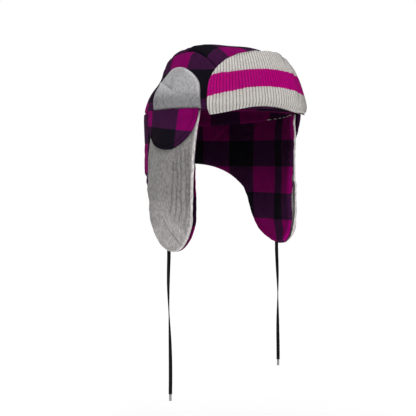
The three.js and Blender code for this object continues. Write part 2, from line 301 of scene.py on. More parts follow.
def rib_knit(name):
    """Cream ribbing with a magenta stripe. The map counts ribs across, and metres up from the hem."""
    g = Graph(name)
    s, t = g.uv()
    jag = g.math("ABSOLUTE", g.math("MULTIPLY_ADD", g.math("FRACT", g.math("ADD", s, 0.5)), 2.0, -1.0))
    uneven = g.noise(g.place((1, 1, 0.2)), 240, 1)
    wander = g.math("MULTIPLY", uneven, 1.4 * MM)
    lifted = g.math("ADD", t, g.math("MULTIPLY_ADD", jag, -1.6 * MM, wander))
    above = g.spread(lifted, STRIPE_LOW, STRIPE_LOW + 0.4 * MM, 0, 1)
    below = g.spread(lifted, STRIPE_HIGH, STRIPE_HIGH + 0.4 * MM, 1, 0)
    stripe = g.math("MULTIPLY", above, below)
    marl = g.noise(g.place((1, 1, 0.5)), 900, 3, 0.75)
    cream = g.mix(g.spread(marl, 0.3, 0.7, 0, 1), (0.56, 0.535, 0.51, 1), (0.76, 0.73, 0.70, 1))
    pink = g.mix(g.spread(marl, 0.3, 0.7, 0, 1), (0.42, 0.001, 0.18, 1), (0.60, 0.002, 0.27, 1))
    relief = stitch_relief(g, g.math("MULTIPLY", s, 2.0), g.math("MULTIPLY", t, 1 / (1.5 * MM)))
    # Painted shade in the grooves between the ribs and in the stitch hollows.
    groove_shade = g.spread(jag, 0.0, 0.6, 0.36, 1.0)
    level = g.math("MULTIPLY", groove_shade, g.spread(relief, 0.0, 1.0, 0.88, 1.06))
    g.cloth_finish(g.shade(g.mix(stripe, cream, pink), g.math("MULTIPLY", level, g.tone())), sheen=0.03)
    fibres = g.noise(g.place(), 2600, 2)
    g.bump(g.math("MULTIPLY_ADD", fibres, 0.3, relief), 0.4 * MM, 0.7)
    return g.material


def fleece(name):
    g = Graph(name)
    tuft = g.noise(g.place(), 300, 5, 0.7)
    g.cloth_finish(g.mix(tuft, (0.62, 0.61, 0.58, 1), (0.86, 0.85, 0.82, 1)), sheen=0.4)
    g.bump(tuft, 1.2 * MM)
    return g.material


def braid(name):
    """Flat braid. The map counts strands across, and strand crossings along."""
    g = Graph(name)
    s, t = g.uv()
    left = g.wave(g.math("ADD", s, t), 1.0)
    right = g.wave(g.math("SUBTRACT", s, t), 1.0)
    relief = g.math("MAXIMUM", left, right)
    # Painted shade: the braid is darker where its strands dip.
    colour = g.mix(relief, (0.003, 0.003, 0.0035, 1), (0.012, 0.011, 0.013, 1))
    g.cloth_finish(colour, roughness=0.7, sheen=0.02)
    g.bump(relief, 0.25 * MM)
    return g.material


def film(name):
    """Clear plastic film wound round the lace's end."""
    g = Graph(name)
    wound = g.wave(g.math("ADD", *g.uv()), 3.0)
    g.feed(g.shader.inputs["Base Color"], g.mix(wound, (0.20, 0.20, 0.215, 1), (0.30, 0.30, 0.32, 1)))
    g.shader.inputs["Roughness"].default_value = 0.3
    g.shader.inputs["Coat Weight"].default_value = 0.4
    g.bump(wound, 0.1 * MM)
    return g.material


def thread(name):
    g = Graph(name)
    twist = g.noise(g.place(), 2500, 2)
    g.cloth_finish(g.mix(twist, (0.20, 0.19, 0.15, 1), (0.42, 0.40, 0.33, 1)), sheen=0.1)
    g.bump(twist, 0.1 * MM)
    return g.material


PLAID = plaid("plaid_flannel")
# The lining is the same flannel painted darker: painted shade for the inside of the hat.
SHADED_LINING_PLAID = plaid("plaid_lining", 0.8)
SOCK = knit("grey_sock_knit", (0.355, 0.34, 0.335, 1), (0.155, 0.148, 0.148, 1), 1.9 * MM)
TOE = knit("grey_toe_knit", (0.45, 0.445, 0.46, 1), (0.26, 0.255, 0.265, 1), 1.6 * MM, 0.42)
RIB = rib_knit("cream_rib_knit")
FLEECE = fleece("wadding")
BRAID = braid("lace_braid")
FILM = film("aglet_plastic")
THREAD = thread("pale_thread")


# ---- surfaces of the hat

def signed_power(value, power):
    return np.sign(value) * np.abs(value) ** power


def end_length(y):
    return np.where(y < 0, FRONT_LENGTH, BACK_LENGTH)


def roundness(y):
    return np.where(y < 0, 2.0, 2.2)


def unit(vectors):
    return vectors / np.linalg.norm(vectors, axis=-1, keepdims=True)


def stack(x, y, z):
    x, y, z = np.broadcast_arrays(x, y, z)
    return np.stack([x, y, z], -1).astype(float)


def ring_normal(x, y):
    n = roundness(y)
    across = signed_power(x / HALF_WIDTH, n - 1) / HALF_WIDTH
    along = signed_power(y / end_length(y), n - 1) / end_length(y)
    return unit(stack(across, along, 0 * x))


def outline(angle):
    """Plan point on the outline: -90 degrees is the front, 0 the left ear, 90 the back."""
    sine = np.sin(angle)
    n = roundness(sine)
    return HALF_WIDTH * signed_power(np.cos(angle), 2 / n), end_length(sine) * signed_power(sine, 2 / n)


def half_width_at(y):
    n = roundness(y)
    return HALF_WIDTH * (1 - np.abs(y / end_length(y)) ** n) ** (1 / n)


def end_at(x, y):
    n = roundness(y)
    return end_length(y) * (1 - np.abs(x / HALF_WIDTH) ** n) ** (1 / n)


def spread_at_height(z):
    return (1 - z / CROWN_HEIGHT) ** (1 / CROWN_FULLNESS)


def crown_surface(x, y):
    n = roundness(y)
    s = np.maximum((np.abs(x / HALF_WIDTH) ** n + np.abs(y / end_length(y)) ** n) ** (1 / n), 1e-5)
    slope = CROWN_HEIGHT * CROWN_FULLNESS * s ** (CROWN_FULLNESS - 1) * s ** (1 - n)
    normal = stack(slope * signed_power(x / HALF_WIDTH, n - 1) / HALF_WIDTH,
                   slope * signed_power(y / end_length(y), n - 1) / end_length(y), 1 + 0 * x)
    return stack(x, y, CROWN_HEIGHT * (1 - s ** CROWN_FULLNESS)), unit(normal)


def wall_surface(x, y, z):
    return stack(x, y, z), ring_normal(x + 0 * z, y + 0 * z)


def ripple(points, wavelength, seed, stretch=(1, 1, 1)):
    """Smooth seeded unevenness of the cloth, about -1 to 1."""
    random = np.random.default_rng(seed)
    directions = unit(random.normal(size=(14, 3))) * np.array(stretch)
    lengths = wavelength * random.uniform(0.7, 1.6, 14)
    phases = random.uniform(0, 2 * np.pi, 14)
    waves = np.sin(2 * np.pi * (points @ directions.T) / lengths + phases)
    return waves.sum(-1) / math.sqrt(14)


def edge_distance(points, edges):
    """How far each grid point is from the nearest of the named edges: u0, u1, v0, v1."""
    lines = {"u0": points[0], "u1": points[-1], "v0": points[:, 0], "v1": points[:, -1]}
    rims = [between(lines[edge][:-1], lines[edge][1:], share)
            for edge in edges.split() for share in (0.0, 0.25, 0.5, 0.75, 1.0)]
    if not rims:
        return np.ones(points.shape[:2])
    rim = np.concatenate(rims)
    tree = KDTree(len(rim))
    for index, spot in enumerate(rim):
        tree.insert(spot, index)
    tree.balance()
    flat = [tree.find(spot)[2] for spot in points.reshape(-1, 3)]
    return np.array(flat).reshape(points.shape[:2])


def grid(columns, rows):
    return np.meshgrid(np.linspace(0, 1, columns + 1), np.linspace(0, 1, rows + 1), indexing="ij")


def smooth_steps(x):
    return x * x * (3 - 2 * x)


def cloth(name, spot, columns, rows, faces, edges="", edge_faces=None, roll=4 * MM, relief=None,
          weave=None, material=None, closed=False, tone=None):
    """A closed layer of cloth between two depths below a surface, its named edges rolled to edge_faces.

    spot(u, v) gives points and outward normals, relief(points, edge) moves the cloth outward,
    weave(u, v, points) gives the cloth's own map, and tone(u, v, points, edge) its lightness, painted shade
    and highlights included.
    """
    u, v = grid(columns, rows)
    points, normals = spot(u, v)
    edge = edge_distance(points, edges)
    turned = np.clip(edge / roll, 0, 1)
    flat = np.sqrt(1 - (1 - turned) ** 2)
    edge_faces = faces if edge_faces is None else edge_faces
    lift = 0 if relief is None else relief(points, edge)
    skins = []
    for full, rolled in zip(faces, edge_faces):
        depth = rolled + (full - rolled) * flat
        skins.append(points + normals * (lift - depth)[..., None])
    light = np.ones_like(u) if tone is None else tone(u, v, points, edge)
    maps = {"cloth": np.stack(weave(u, v, points), -1), "tone": np.stack([light, light], -1)}
    return grid_mesh(name, skins, maps, material, closed)


def grid_faces(columns, rows, closed):
    """Quads that join two skins of grid points into a closed shell, and the grid spot at each corner."""
    count = (columns + 1) * (rows + 1)
    index = np.arange(count).reshape(columns + 1, rows + 1)
    corner = index.copy()
    if closed:
        corner[-1] = corner[0]
    a, b, c, d = corner[:-1, :-1], corner[1:, :-1], corner[1:, 1:], corner[:-1, 1:]
    at = index[:-1, :-1], index[1:, :-1], index[1:, 1:], index[:-1, 1:]
    quads = [np.stack([a, b, c, d], -1).reshape(-1, 4), np.stack([a, d, c, b], -1).reshape(-1, 4) + count]
    spots = [np.stack(at, -1).reshape(-1, 4), np.stack([at[0], at[3], at[2], at[1]], -1).reshape(-1, 4)]
    rims = [(corner[:, 0], index[:, 0]), (corner[::-1, -1], index[::-1, -1])]
    if not closed:
        rims += [(corner[0, ::-1], index[0, ::-1]), (corner[-1], index[-1])]
    for rim, rim_at in rims:
        quads.append(np.stack([rim[1:], rim[:-1], rim[:-1] + count, rim[1:] + count], -1))
        spots.append(np.stack([rim_at[1:], rim_at[:-1], rim_at[:-1], rim_at[1:]], -1))
    return np.concatenate(quads), np.concatenate(spots)


def grid_mesh(name, skins, layers, material, closed):
    """Joins two skins of points on one grid into a closed piece of cloth."""
    quads, spots = grid_faces(skins[0].shape[0] - 1, skins[0].shape[1] - 1, closed)
    mesh = bpy.data.meshes.new(name)
    mesh.from_pydata(np.concatenate([skin.reshape(-1, 3) for skin in skins]).tolist(), [], quads.tolist())
    for layer, mapped in layers.items():
        add_map(mesh, layer, mapped.reshape(-1, 2)[spots.reshape(-1)])
    return finished(name, mesh, material)


def add_map(mesh, layer, corners):
    made = mesh.uv_layers.new(name=layer)
    made.data.foreach_set("uv", corners.astype(np.float32).reshape(-1))


def outward_object(name, mesh, weld=False):
    """Turns a mesh's faces outward and links it as an object, first welding its seams if asked."""
    work = bmesh.new()
    work.from_mesh(mesh)
    if weld:
        bmesh.ops.remove_doubles(work, verts=work.verts, dist=0.01 * MM)
        loose = [vertex for vertex in work.verts if not vertex.link_faces]
        bmesh.ops.delete(work, geom=loose, context="VERTS")
    bmesh.ops.recalc_face_normals(work, faces=work.faces)
    work.to_mesh(mesh)
    work.free()
    made = bpy.data.objects.new(name, mesh)
    bpy.context.collection.objects.link(made)
    return made


def finished(name, mesh, material):
    made = outward_object(name, mesh, weld=True)
    mesh.shade_smooth()
    mesh.materials.append(material)
    return made


def swelling(spot, columns, rows, faces, cap):
    """How far a padded piece's two skins swell, on a grid, when a cloth simulation blows the pad up.

    The pad is sewn down all round, and its cloth is cut a little full so that it puckers along the seams.
    """
    u, v = grid(columns, rows)
    points, normals = spot(u, v)
    start = np.stack([points - normals * face for face in faces])
    quads, _spots = grid_faces(columns, rows, False)
    mesh = bpy.data.meshes.new("pad_form")
    mesh.from_pydata(start.reshape(-1, 3).tolist(), [], quads.tolist())
    pad = outward_object("pad_form", mesh)
    rim = np.zeros(start.shape[:3], bool)
    rim[:, [0, -1]] = rim[:, :, [0, -1]] = True
    sewn = pad.vertex_groups.new(name="sewn")
    sewn.add(np.flatnonzero(rim).tolist(), 1.0, "REPLACE")
    cloth_modifier = pad.modifiers.new("pad", "CLOTH")
    settings = cloth_modifier.settings
    settings.vertex_group_mass = sewn.name
    settings.use_pressure = True
    settings.uniform_pressure_force = 4.0
    settings.shrink_min = -0.03
    settings.quality = 5
    settings.effector_weights.gravity = 0
    scene = bpy.context.scene
    for step in range(1, 21):
        scene.frame_set(step)
    blown = pad.evaluated_get(bpy.context.evaluated_depsgraph_get()).data
    moved = np.empty(len(blown.vertices) * 3)
    blown.vertices.foreach_get("co", moved)
    scene.frame_set(1)
    bpy.data.objects.remove(pad)
    bpy.data.meshes.remove(mesh)
    outward = ((moved.reshape(start.shape) - start) * normals).sum(-1) * np.array([1, -1])[:, None, None]
    return cap * np.tanh(np.maximum(outward, 0) / cap)


def sampled(field, u, v):
    """The field's value between its grid points, smoothly."""
    shares = []
    for value, size in zip((u, v), field.shape):
        at = np.clip(value, 0, 1) * (size - 1)
        k = np.minimum(at.astype(int), size - 2)
        f = at - k
        weights = (-0.5 * f + f ** 2 - 0.5 * f ** 3, 1 - 2.5 * f ** 2 + 1.5 * f ** 3,
                   0.5 * f + 2 * f ** 2 - 1.5 * f ** 3, -0.5 * f ** 2 + 0.5 * f ** 3)
        near = [np.clip(k + step, 0, size - 1) for step in (-1, 0, 1, 2)]
        shares.append(list(zip(near, weights)))
    return sum(a * b * field[i, j] for i, a in shares[0] for j, b in shares[1])


def swollen(spot, field):
    """The surface moved outward by a swelling field."""
    def moved(u, v):
        points, normals = spot(u, v)
        return points + normals * sampled(field, u, v)[..., None], normals
    return moved


def on_side(side, spot):
    def mirrored(u, v):
        points, normals = spot(u, v)
        return points * (side, 1, 1), normals * (side, 1, 1)
    return mirrored


def in_mm(points):
    return np.moveaxis(points, -1, 0) / MM


def between(low_value, high_value, share):
    return low_value + (high_value - low_value) * share


def inset(spot, u_low=0.0, u_high=1.0, v_low=0.0, v_high=1.0):
    return lambda u, v: spot(between(u_low, u_high, u), between(v_low, v_high, v))


def near_line(points, line, width):
    """1 on a line given as (y, z) in mm over the hat's side, falling to 0 within a few widths of it."""
    spots = points[..., 1:]
    nearest = np.full(points.shape[:-1], 1.0)
    for start, end in zip(np.array(line[:-1]) * MM, np.array(line[1:]) * MM):
        stretch = end - start
        along = np.clip((spots - start) @ stretch / (stretch @ stretch), 0, 1)
        nearest = np.minimum(nearest, np.linalg.norm(spots - start - along[..., None] * stretch, axis=-1))
    return np.exp(-(nearest / (width * MM)) ** 2)


def soft_step(value, start, end):
    """0 before start and 1 after end, with an even change between them."""
    return smooth_steps(np.clip((value - start) / (end - start), 0, 1))


# Depths of the layers below the hat's outer face, with the seam allowances where they are sewn together.
OUTER = (0.0, 1.3 * MM)
WADDING = (1.5 * MM, 6.3 * MM)
LINING = (6.5 * MM, 7.8 * MM)
OUTER_EDGE = (2.6 * MM, 3.6 * MM)
LINING_EDGE = (3.8 * MM, 4.8 * MM)
SEAM = (1.0 * MM, 2.2 * MM)
CROWN_WADDING = (3.0 * MM, 6.2 * MM)
CROWN_LINING = (7.3 * MM, 8.6 * MM)
BAND = (10.2 * MM, 11.6 * MM)


def body_ripple(points, edge):
    """The padded cloth's soft unevenness, with small puckers beside the seams."""
    soft = 0.9 * MM * ripple(points, 55 * MM, 11)
    puckers = 0.45 * MM * ripple(points, 11 * MM, 12) * np.exp(-edge / (9 * MM))
    return soft + puckers


# ---- crown

def crown_shape(points):
    """The crown stands up along its two seams, and falls away towards the visor and low at the back."""
    x, y, z = in_mm(points)
    from_seam = (np.abs(x) - STRIP_MIDDLE / MM) / 16
    ridge = np.exp(-from_seam ** 2) * soft_step(z, 40, 70) * soft_step(y, -65, -15)
    haunch = soft_step(y, -5, 45) * np.exp(-((z - 42) / 18) ** 2)
    brow = soft_step(-y, 5, 65) * soft_step(z, 25, 60)
    middle = np.exp(-(x / 42) ** 2) * soft_step(z, 60, 82)
    return MM * (2.5 * ridge - 6.5 * brow - 2.5 * middle - 5.0 * haunch)


def crown_relief(points, edge):
    return crown_shape(points) + body_ripple(points, edge)


RIM_REACH = spread_at_height(CLOTH_RIM)


def strip_y(x, u):
    cosine = np.cos(np.pi * u)
    return -RIM_REACH * cosine * end_at(x / RIM_REACH, -cosine)


def seam_at(u):
    """The seam between the centre strip and a side panel: the strip is widest on top of the head."""
    return STRIP_END + (STRIP_MIDDLE - STRIP_END) * np.sin(np.pi * u)


def centre_strip(u, v):
    x = between(-1, 1, v) * seam_at(u)
    return crown_surface(x, strip_y(x, u))


def side_panel(u, v):
    seam_x = seam_at(u) + 0.3 * MM
    seam_y = strip_y(seam_x, u)
    reach = between(-1, 1, u)
    corner = np.arccos((STRIP_END / (RIM_REACH * HALF_WIDTH)) ** (roundness(reach) / 2))
    rim_x, rim_y = outline(reach * corner)
    down = np.sin(v * np.pi / 2)
    x = between(seam_x, RIM_REACH * rim_x, down)
    return crown_surface(x, between(seam_y, RIM_REACH * rim_y, down))


def dome_from(rim):
    def dome(u, v):
        x, y = outline(2 * np.pi * u)
        out = spread_at_height(rim) * np.cos(v * np.pi / 2)
        return crown_surface(x * out, y * out)
    return dome


def side_check(u, v, points):
    """Check lines on a side panel run up the crown and level round it."""
    y, z = points[..., 1], points[..., 2]
    return (y + 15 * MM - 0.1 * (z - 50 * MM)) / CHECK, (z - 48.214 * MM) / CHECK


def strip_check(u, v, points):
    x, y = points[..., 0], points[..., 1]
    return (x + 41 * MM) / CHECK, (y + 33 * MM) / CHECK - 1


def plain_map(u, v, points):
    return u, v


def lining_check(u, v, points):
    x, y, z = points[..., 0], points[..., 1], points[..., 2]
    around = np.arctan2(np.abs(x) / HALF_WIDTH, y / BACK_LENGTH) * 98
    column = np.interp(around, [-144, 6, 44, 83, 120, 157, 172, 309], [-3, 1, 2, 3, 4, 5, 6, 10])
    return column, z / (36 * MM) - 1


def lining_painted_shade(u, v, points, edge):
    """Painted shade: the lining is darker high inside the hat and lighter towards the tips of the flaps."""
    return 0.55 + 0.5 * soft_step(-points[..., 2] / MM, 40, 170)


def flap_lining_painted_light(u, v, points, edge):
    """Painted highlight where the lining's rolled front edge catches the light, over the lining's painted
    shade.
    """
    rolled = np.exp(-(edge / (4 * MM)) ** 2) * soft_step(-u, -0.6, -0.2)
    return lining_painted_shade(u, v, points, edge) * (1 + 1.1 * rolled)


def curtain_check(u, v, points):
    y, z = points[..., 1], points[..., 2]
    return (y - 52 * MM) / CHECK, (z + 42 * MM) / CHECK + 1


def build_crown():
    form = (1.0 * MM, 5.5 * MM)
    panel_spot = inset(side_panel, 0.012, 0.988)
    strip_spot = swollen(centre_strip, swelling(centre_strip, 56, 22, form, 2.2 * MM)[0])
    panel_spot = swollen(panel_spot, swelling(panel_spot, 44, 20, form, 1.2 * MM)[0])
    strip = cloth("crown_strip_cloth", strip_spot, 150, 60, OUTER, "v0 v1", SEAM, 4.5 * MM, crown_relief,
                  strip_check, PLAID)
    pieces = [(strip, "crown_centre_panel", "plaid_flannel")]
    for name, side in SIDES:
        panel = cloth(f"crown_{name}_cloth", on_side(side, panel_spot), 130, 46, OUTER,
                      "u0 u1 v0 v1", SEAM, 4.5 * MM, crown_relief, side_check, PLAID)
        pieces.append((panel, f"crown_{name}_panel", "plaid_flannel"))
    wadding = cloth("crown_wadding_pad", dome_from(CROWN_RIM), 64, 20, CROWN_WADDING, closed=True,
                    relief=lambda p, e: crown_shape(p), weave=plain_map, material=FLEECE)
    lining = cloth("crown_lining_cloth", dome_from(CLOTH_RIM), 72, 24, CROWN_LINING, closed=True,
                   relief=lambda p, e: crown_shape(p), weave=lining_check, material=SHADED_LINING_PLAID,
                   tone=lining_painted_shade)
    pieces += [(wadding, "crown_wadding", "wadding"), (lining, "crown_lining", "plaid_lining")]
    for piece, node, slot in pieces:
        settle(piece, "crown", node)


def settle(piece, body, node):
    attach(piece, body)
    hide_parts(node)


BAND_FRONT_DROP = 5 * MM
BAND_BACK_DROP = -low("inner_band")[2]
BAND_TOP = high("inner_band")[2]


def band_hem(angle):
    """The band reaches lower behind the head than in front."""
    return -between(BAND_FRONT_DROP, BAND_BACK_DROP, ((1 + np.sin(angle)) / 2) ** 1.5)


def band_surface(u, v):
    angle = 2 * np.pi * u
    z = between(band_hem(angle), BAND_TOP, v)
    x, y = outline(angle)
    s = spread_at_height(np.maximum(z, 0))
    points, normals = wall_surface(x * s, y * s, z)
    return points, ring_normal(x, y)


def band_check(u, v, points):
    x, y, z = points[..., 0], points[..., 1], points[..., 2]
    around = np.arctan2(x / HALF_WIDTH, y / BACK_LENGTH) * 98
    column = np.interp(around, [-150, -82, -48, -8, 22, 56, 100, 150, 304], [-3, -1, 0, 1, 2, 3, 4, 5, 9])
    return column, (z + 36 * MM) / (56 * MM)


def build_band():
    band = cloth("inner_band_cloth", band_surface, 150, 12, BAND, "v0", (9.6 * MM, 11.0 * MM), 3 * MM,
                 lambda p, e: 0.35 * MM * ripple(p, 18 * MM, 21), band_check, SHADED_LINING_PLAID, closed=True,
                 tone=lining_painted_shade)
    settle(band, "crown", "inner_band")
    build_stitches()


def build_stitches():
    """The running stitch that closes the band by hand beside the left ear."""
    for index, angle in enumerate(np.radians(np.linspace(-40, 1, 7))):
        steps = np.linspace(0, 1, 9)
        angles = angle + math.radians(3.6) * steps
        x, y = outline(angles)
        inward = -ring_normal(x, y)
        depth = BAND[1] + 0.9 * MM * np.sin(np.pi * steps) ** 0.5
        line = stack(x, y, band_hem(angles) + 1.2 * MM) + inward * depth[:, None]
        girth = 0.55 * MM * np.sin(np.pi * between(0.06, 0.94, steps))[:, None, None] ** 0.4
        around = np.linspace(0, 2 * np.pi, 9)[None, :, None]
        across = np.cos(around) * inward[:, None] + np.sin(around) * np.array([0, 0, 1.0])
        skin = line[:, None] + girth * across
        stitch = tube(f"band_stitch_{index + 1}", skin, around[..., 0], steps[:, None], THREAD)
        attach(stitch, "crown")


# ---- ear flaps and neck curtain

FLAP_HEM = [(-41, -122), (-39.5, -141), (-33, -160), (-22.5, -173), (-10, -177), (3, -176), (18, -170.5),
            (31, -160.5), (40, -147.5), (46.5, -131), (51.5, -115), (57, -101.5)]


def curve_through(points, share):
    """Smooth curve through a few points: share 0 to 1 from first to last."""
    points = np.array(points, float)
    steps = np.linalg.norm(np.diff(points, axis=0), axis=1) ** 0.5
    knots = np.concatenate([[0], np.cumsum(steps)])
    tangents = np.gradient(points, knots, axis=0)
    at = np.clip(share, 0, 1) * (len(points) - 1)
    k = np.minimum(at.astype(int), len(points) - 2)
    f = (at - k)[..., None]
    span = (knots[k + 1] - knots[k])[..., None]
    h00, h10 = 2 * f ** 3 - 3 * f ** 2 + 1, f ** 3 - 2 * f ** 2 + f
    h01, h11 = -2 * f ** 3 + 3 * f ** 2, f ** 3 - f ** 2
    return h00 * points[k] + h10 * span * tangents[k] + h01 * points[k + 1] + h11 * span * tangents[k + 1]


def flap_surface(u, v, forward=0.0):
    """The flap's outer face. forward brings the low part of its front edge forward."""
    hem = curve_through(FLAP_HEM, u) * MM
    y = between(between(FLAP_FRONT_TOP, FLAP_BACK_TOP, u), hem[..., 0], v)
    y = y + 3.2 * MM * (1 - u) ** 2 * np.sin(np.pi * v)
    z = between(FLAP_TOP, hem[..., 1], v)
    low_front = soft_step(-u, -0.38, -0.1) * soft_step(-z / MM, 55, 130)
    y, z = y - forward * low_front, z - 0.4 * forward * low_front
    return wall_surface(half_width_at(y), y, z)


def flap_filling(u, v):
    """The flap drawn in a little towards its middle, for the wadding."""
    points, _normals = flap_surface(u, v)
    y = between(points[..., 1], 4 * MM, 0.10)
    return wall_surface(half_width_at(y), y, between(points[..., 2], -85 * MM, 0.06))


def curtain_hem(y):
    share = (BACK_LENGTH - y) / (BACK_LENGTH - FLAP_BACK)
    return CURTAIN_MIDDLE + (CURTAIN_SIDE - CURTAIN_MIDDLE) * np.clip(share, 0, 1) ** 1.75


# The halves of the curtain end just short of the centre plane, and draw in there to meet as a seam.
SEAM_GAP_ANGLE = 0.0004
SEAM_DEPTH = 0.4 * MM


def along_back(start, u):
    """y along a level line of the curtain that starts at the given y, evenly round to the centre back."""
    angle = math.asin((start / BACK_LENGTH) ** (roundness(start) / 2))
    return outline(between(angle, np.pi / 2 - SEAM_GAP_ANGLE, u))[1]


def curtain_surface(u, v):
    """Half of the neck curtain: u 0 at the flap's slanting back seam, 1 at the centre back."""
    hem_y = along_back(FLAP_BACK, u)
    y = between(along_back(FLAP_BACK_TOP, u), hem_y, v)
    drawn_in = SEAM_DEPTH * u ** 60
    return wall_surface(half_width_at(y) - drawn_in, y, between(FLAP_TOP, curtain_hem(hem_y), v))


def sock_map(u, v, points):
    return points[..., 1] + 0 * u, points[..., 2]


# The sock's pressed ribs, the crease across its heel and the fold beside its back seam, as (y, z) in mm.
SOCK_RIBS = [
    [(-13, -66), (-12.3, -80), (-11, -102), (-8.9, -116), (-4.6, -130)],
    [(-19.4, -50), (-18.1, -79), (-19, -97), (-19.2, -109), (-16.7, -125), (-13.5, -136)],
    [(-25.2, -50), (-24.5, -84), (-25, -102), (-26.7, -115), (-26.1, -124), (-22.7, -134), (-20.3, -142)],
    [(-31.6, -45), (-31.6, -75), (-32.6, -93), (-34.1, -115), (-34.1, -124), (-32, -136), (-28.3, -145)],
    [(-36.7, -40), (-35.2, -66), (-36.6, -93), (-37.4, -118)],
]
HEEL_CREASE = [(13, -135), (-1.5, -150), (-8.7, -154), (-27, -167)]
BACK_FOLD = [(44, -50), (46, -80), (46, -100), (42, -123), (34, -151)]


def rib_marks(points):
    z = points[..., 2] / MM
    ribs = sum(near_line(points, line, 1.5) for line in SOCK_RIBS)
    return ribs * soft_step(-z, 34, 70) * soft_step(-z, 152, 128)


def flap_puff(points):
    """The flap is fullest near its front edge, low down."""
    y, z = in_mm(points)[1:]
    return 2.6 * MM * np.exp(-((z + 122) / 34) ** 2) * soft_step(-y, 0, 36)


def flap_relief(points, edge):
    """Soft unevenness, with the sock's ribs, its heel crease and the fold beside its back seam."""
    inside = np.clip(edge / (5 * MM), 0, 1)
    creases = 0.8 * near_line(points, HEEL_CREASE, 1.3) + 0.5 * near_line(points, BACK_FOLD, 1.8)
    lines = 0.9 * rib_marks(points) + creases
    ridge = 0.7 * near_line(points + (0, -2 * MM, -3 * MM), HEEL_CREASE, 3.0)
    return flap_puff(points) + body_ripple(points, edge) + MM * (ridge - lines) * inside


def sock_tone_and_painted_shade(u, v, points, edge):
    """Painted shade in the ribs and creases; lighter over the heel, and nearly white where its front edge
    curls.
    """
    y, z = in_mm(points)[1:]
    under_crease = soft_step(-(z - 0.5 * y), 128, 140) * soft_step(-(z + 1.1 * y), 108, 128)
    heel = 0.30 * soft_step(-z, 98, 128) + 0.26 * under_crease
    curl = np.exp(-(edge / (2.0 * MM)) ** 4) * soft_step(-u, -0.62, -0.40) * soft_step(-z, 4, 12)
    creases = 0.5 * near_line(points, HEEL_CREASE, 0.8) + 0.16 * near_line(points, BACK_FOLD, 1.5)
    shade = 1 - 0.34 * rib_marks(points) - creases
    return shade * (1 + heel) * (1 - curl) + 2.5 * curl


def build_curtain():
    out, back = swelling(curtain_surface, 26, 26, (1 * MM, 6.5 * MM), 2.5 * MM)
    for name, side in SIDES:
        half = cloth(f"neck_{name}_cloth", on_side(side, swollen(curtain_surface, out)), 70, 50, OUTER,
                     "u1 v0 v1", SEAM, 4 * MM, body_ripple, curtain_check, PLAID)
        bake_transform(half)
        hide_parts(f"neck_curtain_{name}")
    for name, side in SIDES:
        half = on_side(side, inset(curtain_surface, 0.02, 0.95, 0.06, 0.94))
        wadding = cloth(f"neck_{name}_wadding", half, 40, 20, WADDING, relief=body_ripple, weave=plain_map,
                        material=FLEECE)
        inner = on_side(side, swollen(curtain_surface, -back))
        lining = cloth(f"neck_{name}_lining", inner, 70, 50, LINING, "v0 v1", LINING_EDGE, 4 * MM,
                       body_ripple, lining_check, SHADED_LINING_PLAID, tone=lining_painted_shade)
        for piece, slot in ((wadding, "wadding"), (lining, "plaid_lining")):
            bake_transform(piece)
        # The CAD has one wadding and one lining for both halves, so the right half stands for them.
        if name == "right":
            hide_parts("neck_wadding")
            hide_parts("neck_lining")


def forward_by(amount):
    return lambda u, v: flap_surface(u, v, amount)


# The cover holds the upper part of the sock flat.
FLAP_SWELLING = swelling(flap_surface, 34, 44, (1 * MM, 6.5 * MM), 2.6 * MM)
DOWN_FLAP = np.linspace(0, 1, FLAP_SWELLING.shape[2])
FLAP_SWELLING[0] *= soft_step(DOWN_FLAP, 0.22, 0.5)
FLAP_SWELLING[1] *= soft_step(-DOWN_FLAP, -0.97, -0.8)
# How far the sock and the lining are rolled forward along the low front edge: the lining shows outside on
# the right flap, and the sock shows inside on the left one.
EDGE_ROLL = {"right": (0.0, 2.6 * MM), "left": (4.0 * MM, 0.0)}


def build_flap(name, side):
    sock_roll, lining_roll = EDGE_ROLL[name]
    surface = on_side(side, swollen(forward_by(sock_roll), FLAP_SWELLING[0]))
    inner = on_side(side, swollen(forward_by(lining_roll), -FLAP_SWELLING[1]))
    sock = cloth(f"{name}_flap_sock_cloth", surface, 130, 160, OUTER, "u0 v0 v1", OUTER_EDGE, 4.2 * MM,
                 flap_relief, sock_map, SOCK, tone=sock_tone_and_painted_shade)
    wadding = cloth(f"{name}_flap_pad", on_side(side, flap_filling), 30, 40, WADDING,
                    relief=lambda p, e: flap_puff(p) + body_ripple(p, e), weave=plain_map, material=FLEECE)
    lining = cloth(f"{name}_flap_lining_cloth", inner, 90, 110, LINING, "u0 v0 v1", LINING_EDGE, 4.8 * MM,
                   body_ripple, lining_check, SHADED_LINING_PLAID, tone=flap_lining_painted_light)
    for piece, node, slot in ((sock, "sock", "grey_sock_knit"), (wadding, "wadding", "wadding"),
                              (lining, "lining", "plaid_lining")):
        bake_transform(piece)
        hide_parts(f"{name}_flap_{node}")


# ---- covers and patches

def cover_surface(u, v):
    """A half disc below the ear seam, fuller at the back than in front."""
    reach = between(-0.985, 0.985, u)
    fullness = np.where(reach < 0, 1.9, 2.5)
    z = COVER_TOP + (COVER_TIP - COVER_TOP) * v * (1 - np.abs(reach) ** fullness) ** (1 / fullness)
    y = between(COVER_FRONT, COVER_BACK, u)
    return wall_surface(half_width_at(y), y, z + 0 * y)


# How far inside the cover's edge its stitching runs.
STITCH_INSET = 4.6 * MM

# The patch's edge over the crown's side, from its front foot to its back foot, as (y, z) in mm.
PATCH_EDGE = [(-51.5, -1.6), (-48, 9), (-45, 19.5), (-41, 29), (-34.5, 36.7), (-23.7, 44.5), (-10.8, 50),
              (-2, 51.5), (7, 51.2), (17, 49.6), (27, 46), (36.5, 39), (41, 30), (41, 21), (36, 10),
              (27, -1.6)]


def patch_surface(u, v):
    edge = curve_through(PATCH_EDGE, u) * MM
    y = between(between(PATCH_EDGE[0][0], PATCH_EDGE[-1][0], u) * MM, edge[..., 0], v)
    z = between(PATCH_EDGE[0][1] * MM, edge[..., 1], v)
    s = spread_at_height(z)
    return crown_surface(s * half_width_at(y / s), y)


